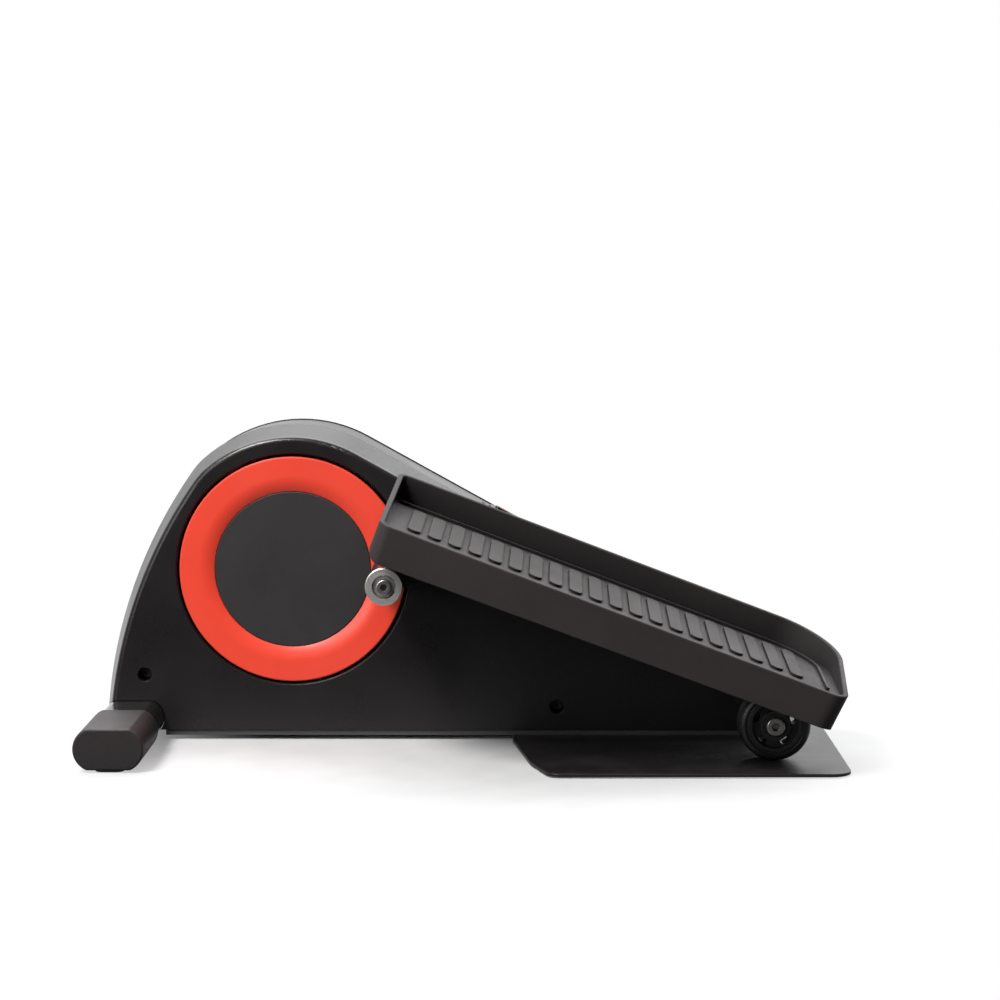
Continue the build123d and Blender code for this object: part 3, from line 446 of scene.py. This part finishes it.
# Painted shade: the recess mask darkens the washer's hollow round the pin head.
turned_washer = finish(
    "turned washer", (0.62, 0.605, 0.58), 0.46, grain=1500.0, depth=0.00001, edge=0.0004,
    wear=0.4, worn=BRIGHT_EDGE, shade=0.1, dust=0.02, metal=1.0,
    rings=axis_of("pin_washer_left"), painted_shade=(0.003, 0.8))
ground_steel = finish(
    "ground steel", (0.56, 0.555, 0.55), 0.24, grain=1800.0, depth=0.00002, edge=0.0004,
    shade=0.1, dust=0.0, metal=1.0)
cast_aluminium = finish(
    "cast aluminium", (0.50, 0.50, 0.505), 0.45, grain=600.0, depth=0.0001, uneven=1.0,
    shade=0.15, dust=0.02, metal=1.0)
flywheel_iron = finish(
    "flywheel iron", (0.30, 0.29, 0.285), 0.38, grain=500.0, depth=0.00006, shade=0.2, dust=0.0,
    metal=1.0, rings=axis_of("flywheel"))
print("metals:", black_steel.name, frame_steel.name, zinc_steel.name, ground_steel.name)

# %% [markdown]
# ## Rubber, nylon and cable
# Rubber scatters light, so the pads are rough with a trace of sheen. The tyres are harder and a
# little shinier, as rolling polishes them. Nylon hubs and bearing seals are close to the tyres in
# colour. The tyres, hubs and seals get painted shade in their grooves and sockets, so that the
# wheel keeps its depth.

# %% Rubber, nylon and cable
pad_rubber = finish(
    "pad rubber", (0.012, 0.012, 0.012), 0.75, grain=650.0, depth=0.00018, wear=0.2, dust=0.1,
    fixed={"Sheen Weight": 0.15})
# Painted shade: the recess mask darkens the tyre's grooves and corners.
roller_rubber = finish(
    "roller rubber", (0.012, 0.0115, 0.0118), 0.42, grain=800.0, edge=0.0008, wear=0.35,
    worn=(0.05, 0.048, 0.047), dust=0.03, painted_shade=(0.008, 0.6))
# Painted shade: the recess mask darkens the hub's sockets.
bush_nylon = finish(
    "bush nylon", (0.020, 0.019, 0.0195), 0.42, depth=0.00005, edge=0.0005,
    worn=(0.09, 0.088, 0.087), shade=0.1, dust=0.02, painted_shade=(0.008, 0.8))
# Painted shade: the recess mask darkens the seal's narrow gaps.
bearing_seal = finish(
    "bearing seal", (0.015, 0.0145, 0.0145), 0.55, depth=0.00004, edge=0.0004, wear=0.2,
    dust=0.02, painted_shade=(0.004, 0.6))
cable_black = finish(
    "cable black", (0.014, 0.014, 0.015), 0.4, depth=0.00006, edge=0.0003, wear=0.1, dust=0.02)
print("rubber and nylon:", pad_rubber.name, roller_rubber.name, bush_nylon.name)

# %% [markdown]
# ## Which finish goes where
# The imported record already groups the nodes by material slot, so each slot gets its finish here,
# and a few nodes have one of their own. A node takes its finish by its material slots, which
# leaves its mesh untouched.

# %% Assign the finishes
slot_finish = {
    "black_steel": black_steel, "frame_steel": frame_steel, "pad_rubber": pad_rubber,
    "boot_plastic": boot_plastic, "housing_plastic": housing_plastic,
    "spine_plastic": spine_plastic, "tray_plastic": tray_plastic, "disc_plastic": disc_plastic,
    "ring_coral": ring_coral, "zinc_steel": zinc_steel, "ground_steel": ground_steel,
    "cast_aluminium": cast_aluminium, "flywheel_iron": flywheel_iron, "bush_nylon": bush_nylon,
    "roller_rubber": roller_rubber, "cable_black": cable_black,
}
own_finish = {
    "front_foot_tube": tube_gloss,
    "pin_washer_left": turned_washer, "pin_washer_right": turned_washer,
    "roller_bearings_left": bearing_seal, "roller_bearings_right": bearing_seal,
}
slot_of = {row["node"]: row["material_slot"] for row in frame["record"]["subparts"]}
for name, node in nodes.items():
    node.data.materials.clear()
    node.data.materials.append(own_finish.get(name, slot_finish[slot_of[name]]))
print("finished nodes", len(slot_of))

# %% [markdown]
# ## Rollers with a real tread
# The tyre is a ring turned about the roller's axle. Its section has rounded shoulders and three
# shallow grooves. One spin of that closed section makes the whole ring, with even quads all the
# way round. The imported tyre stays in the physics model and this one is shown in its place.

# %% Tyre section
SHOULDER = 0.0052
SHOULDER_STEPS = 8
GROOVE_PITCH = 0.0042
GROOVE_MOUTH = 0.0007
GROOVE_FLOOR = 0.0003
GROOVE_DEPTH = 0.0007
WALL_DEPTH = 0.0006


def tyre_section(radius, half, bore):
    """A closed tyre profile of (radius, across) points: side wall, shoulder, grooved tread."""
    centre_radius, centre_across = radius - SHOULDER, half - SHOULDER
    angles = [math.pi / 2 * step / SHOULDER_STEPS for step in range(SHOULDER_STEPS + 1)]
    shoulder = [(centre_radius + SHOULDER * math.sin(angle),
                 centre_across + SHOULDER * math.cos(angle)) for angle in angles]
    tread = []
    for place in (GROOVE_PITCH, 0.0, -GROOVE_PITCH):
        tread += [(radius, place + GROOVE_MOUTH), (radius - GROOVE_DEPTH, place + GROOVE_FLOOR),
                  (radius - GROOVE_DEPTH, place - GROOVE_FLOOR), (radius, place - GROOVE_MOUTH)]
    wall = [(bore + 0.0008, half), (bore + 0.0012, half - WALL_DEPTH),
            (bore + 0.0022, half - WALL_DEPTH), (bore + 0.0028, half)]
    one_side = wall + shoulder
    other_side = [(r, -across) for r, across in reversed(one_side)]
    return one_side + tread + other_side + [(bore, -half), (bore, half)]


print("tyre section points", len(tyre_section(0.03, 0.01, 0.02)))

# %% Tyres
TYRE_STEPS = 128
SHARP_ANGLE = math.radians(35)


def spin_section(name, section, centre):
    """Turn a closed section of (radius, across) points about an axis along Y through centre."""
    build = bmesh.new()
    points = [build.verts.new((centre.x + r, centre.y + across, centre.z))
              for r, across in section]
    edges = [build.edges.new((point, points[(number + 1) % len(points)]))
             for number, point in enumerate(points)]
    bmesh.ops.spin(build, geom=points + edges, cent=centre, axis=(0.0, 1.0, 0.0),
                   angle=2 * math.pi, steps=TYRE_STEPS, use_merge=True)
    bmesh.ops.remove_doubles(build, verts=build.verts, dist=1e-6)
    bmesh.ops.recalc_face_normals(build, faces=build.faces)
    mesh = bpy.data.meshes.new(name)
    build.to_mesh(mesh)
    build.free()
    mesh.polygons.foreach_set("use_smooth", [True] * len(mesh.polygons))
    mesh.set_sharp_from_angle(angle=SHARP_ANGLE)
    piece = bpy.data.objects.new(name, mesh)
    scene.collection.objects.link(piece)
    return piece


for side_name in ("left", "right"):
    first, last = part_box(f"roller_tyre_{side_name}")
    centre = (first + last) / 2
    tyre_radius, half_width = (last.z - first.z) / 2, (last.y - first.y) / 2
    hub_first, hub_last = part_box(f"roller_hub_{side_name}")
    section = tyre_section(tyre_radius, half_width, (hub_last.z - hub_first.z) / 2)
    tyre = spin_section(f"tyre_{side_name}", section, centre)
    tyre.data.materials.append(roller_rubber)
    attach(tyre, f"roller_{side_name}")
    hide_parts(f"roller_tyre_{side_name}")
    print(tyre.name, "radius", round(tyre_radius, 4), "faces", len(tyre.data.polygons))

# %% [markdown]
# ## Marks round the tension dial
# A dial needs something to point at. Eight small raised bars stand round the bezel on the slope,
# each a little longer than the last, and a thin coral bar lies along the grip of the knob. Both
# are generic, with no lettering. The bars are cubes in one mesh, rounded by a Bevel modifier.

# %% Bars on the slope
SLOPE = math.radians(29.0)
slope_along = Vector((math.cos(SLOPE), 0.0, -math.sin(SLOPE)))
slope_up = Vector((math.sin(SLOPE), 0.0, math.cos(SLOPE)))


def bar_mesh(name, bars, material, bevel):
    """Rounded bars, each (centre, length direction, length, width, height), in one piece."""
    build = bmesh.new()
    for middle_point, along, bar_length, width, height in bars:
        across = slope_up.cross(along)
        columns = Matrix((along * bar_length, across * width, slope_up * height))
        place = Matrix.Translation(middle_point) @ columns.transposed().to_4x4()
        bmesh.ops.create_cube(build, size=1.0, matrix=place)
    mesh = bpy.data.meshes.new(name)
    build.to_mesh(mesh)
    build.free()
    mesh.materials.append(material)
    piece = bpy.data.objects.new(name, mesh)
    scene.collection.objects.link(piece)
    rounding = piece.modifiers.new("rounding", "BEVEL")
    rounding.width = bevel
    rounding.segments = 3
    return piece


print("slope in degrees", round(math.degrees(SLOPE), 1))

# %% Dial marks
MARK_COUNT = 8
MARK_RADIUS = 0.0262
MARK_LIFT = 0.00005
MARK_LENGTH, MARK_GROWTH = 0.0024, 0.00022
MARK_WIDTH, MARK_HEIGHT = 0.0009, 0.0005
DIAL_SWEEP = 270

dial_joint = next(joint for joint in frame["joints"] if joint["name"] == "dial_turn")
dial_centre = Vector(dial_joint["pos_m"])
marks = []
for step in range(MARK_COUNT):
    turn = math.radians(-DIAL_SWEEP / 2 + step * DIAL_SWEEP / (MARK_COUNT - 1))
    outward = slope_along * -math.cos(turn) + Vector((0.0, 1.0, 0.0)) * math.sin(turn)
    place = dial_centre + outward * MARK_RADIUS + slope_up * MARK_LIFT
    marks.append((place, outward, MARK_LENGTH + MARK_GROWTH * step, MARK_WIDTH, MARK_HEIGHT))
dial_marks = bar_mesh("dial_marks", marks, boot_plastic, 0.00015)
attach(dial_marks, "base")
print("dial marks", len(marks))

# %% Dial pointer
KNOB_TOP = 0.0045
POINTER_OUT = 0.0085
POINTER_LENGTH, POINTER_WIDTH, POINTER_HEIGHT = 0.0100, 0.0014, 0.0004

pointer_middle = dial_centre - slope_along * POINTER_OUT + slope_up * KNOB_TOP
pointer_bar = (pointer_middle, slope_along, POINTER_LENGTH, POINTER_WIDTH, POINTER_HEIGHT)
dial_pointer = bar_mesh("dial_pointer", [pointer_bar], ring_coral, 0.00012)
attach(dial_pointer, "dial")
print("pointer at", [round(v, 4) for v in pointer_middle])

# %% [markdown]
# ## Studio lights
# Black plastic is drawn by what it reflects. A wide soft light overhead and behind gives the crown
# its grey sheen, a key light from the upper left front brings out the coral, and a weaker fill
# from low on the left lifts the metal and the side. A last light behind on the right separates
# the plate from the floor.

# %% Lights
def soft_light(name, place, target, size, power, colour=(1.0, 1.0, 1.0)):
    """A rectangular area light that points at a target."""
    data = bpy.data.lights.new(name, "AREA")
    data.shape = "RECTANGLE"
    data.size, data.size_y = size
    data.energy = power
    data.color = colour
    light = bpy.data.objects.new(name, data)
    light.location = place
    aim = Vector(target) - Vector(place)
    light.rotation_euler = aim.to_track_quat("-Z", "Y").to_euler()
    scene.collection.objects.link(light)


soft_light("key_light", (-1.1, -1.5, 2.2), (0.0, 0.0, 0.12), (0.9, 0.9), 100.0,
           (1.0, 0.985, 0.97))
soft_light("fill_light", (-1.7, -2.3, 0.75), (-0.1, 0.0, 0.12), (1.5, 1.1), 20.0,
           (1.0, 0.98, 0.97))
soft_light("top_light", (-0.1, 0.75, 1.5), (-0.1, 0.0, 0.2), (2.4, 1.2), 34.0)
soft_light("back_light", (1.3, 1.5, 1.2), (0.1, 0.0, 0.1), (1.2, 1.0), 14.0)

# %% [markdown]
# ## The room
# The room is a gradient and not a picture: bright behind the machine, dim behind the camera, so
# that the side facing the camera stays near black. Rays straight from the camera see plain white,
# which the Light Path node picks out. The Standard view transform keeps white and coral as given.

# %% World
world = bpy.data.worlds.new("studio_room")
scene.world = world
world.use_nodes = True
tree = world.node_tree
background = tree.nodes["Background"]
direction = add_node(tree, "ShaderNodeTexCoord").outputs["Generated"]
parts = add_node(tree, "ShaderNodeSeparateXYZ", Vector=direction).outputs
behind = spread(tree, parts["Y"], -0.45, 0.6, 0.05, 1.0)
above = spread(tree, parts["Z"], 0.0, 1.0, 0.0, 0.25)
brightness = maths(tree, "ADD", behind, above)
room = add_node(tree, "ShaderNodeCombineColor", Red=brightness, Green=brightness, Blue=brightness)
seen = add_node(tree, "ShaderNodeLightPath").outputs["Is Camera Ray"]
WHITE = (1.0, 1.0, 1.0)
tree.links.new(blend_colour(tree, seen, room.outputs[0], WHITE), background.inputs["Color"])
scene.view_settings.view_transform = "Standard"
print("world ready")

# %% [markdown]
# ## The floor
# A plain pale disc catches the contact shadows near the machine and fades into white further out,
# so that no horizon shows. In reflections its front half is dark and its back half pale, for the
# same reason as the room: a black side should mirror something dim.

# %% Floor
FLOOR_RADIUS = 7.0
FLOOR_GAP = 0.0002
BLACK = (0.0, 0.0, 0.0)
floor_mesh = bpy.data.meshes.new("studio_floor")
build = bmesh.new()
bmesh.ops.create_circle(build, cap_ends=True, segments=96, radius=FLOOR_RADIUS)
build.to_mesh(floor_mesh)
build.free()
floor = bpy.data.objects.new("studio_floor", floor_mesh)
floor.location = (middle.x, 0.0, low.z - FLOOR_GAP)
scene.collection.objects.link(floor)
print("floor radius", FLOOR_RADIUS)

# %% Floor material
floor_material = bpy.data.materials.new("pale floor")
floor_material.use_nodes = True
floor_mesh.materials.append(floor_material)
tree = floor_material.node_tree
shader = tree.nodes["Principled BSDF"]
where = add_node(tree, "ShaderNodeTexCoord").outputs["Object"]
away = add_node(tree, "ShaderNodeVectorMath", {"operation": "LENGTH"}, i0=where).outputs["Value"]
fade = spread(tree, away, 0.16, 0.46)
side = add_node(tree, "ShaderNodeSeparateXYZ", Vector=where).outputs["Y"]
back_half = spread(tree, side, -0.35, 0.15)
seen = add_node(tree, "ShaderNodeLightPath").outputs["Is Camera Ray"]
mottle = add_node(tree, "ShaderNodeTexNoise", Vector=where, Scale=30.0, Detail=5.0)
shown_near = blend_colour(tree, spread(tree, mottle.outputs[0], 0.3, 0.7),
                          (0.555, 0.56, 0.565), (0.585, 0.59, 0.595))
mirrored_near = blend_colour(tree, back_half, (0.06, 0.06, 0.06), (0.8, 0.8, 0.8))
mirrored_far = blend_colour(tree, back_half, (0.04, 0.04, 0.04), (0.95, 0.95, 0.95))
near = blend_colour(tree, seen, mirrored_near, shown_near)
far = blend_colour(tree, seen, mirrored_far, WHITE)
tree.links.new(blend_colour(tree, fade, near, BLACK), shader.inputs["Base Color"])
tree.links.new(blend_colour(tree, fade, BLACK, far), shader.inputs["Emission Color"])
shader.inputs["Emission Strength"].default_value = 1.0
shader.inputs["Roughness"].default_value = 0.85
shader.inputs["Specular IOR Level"].default_value = 0.0
print("floor ready")
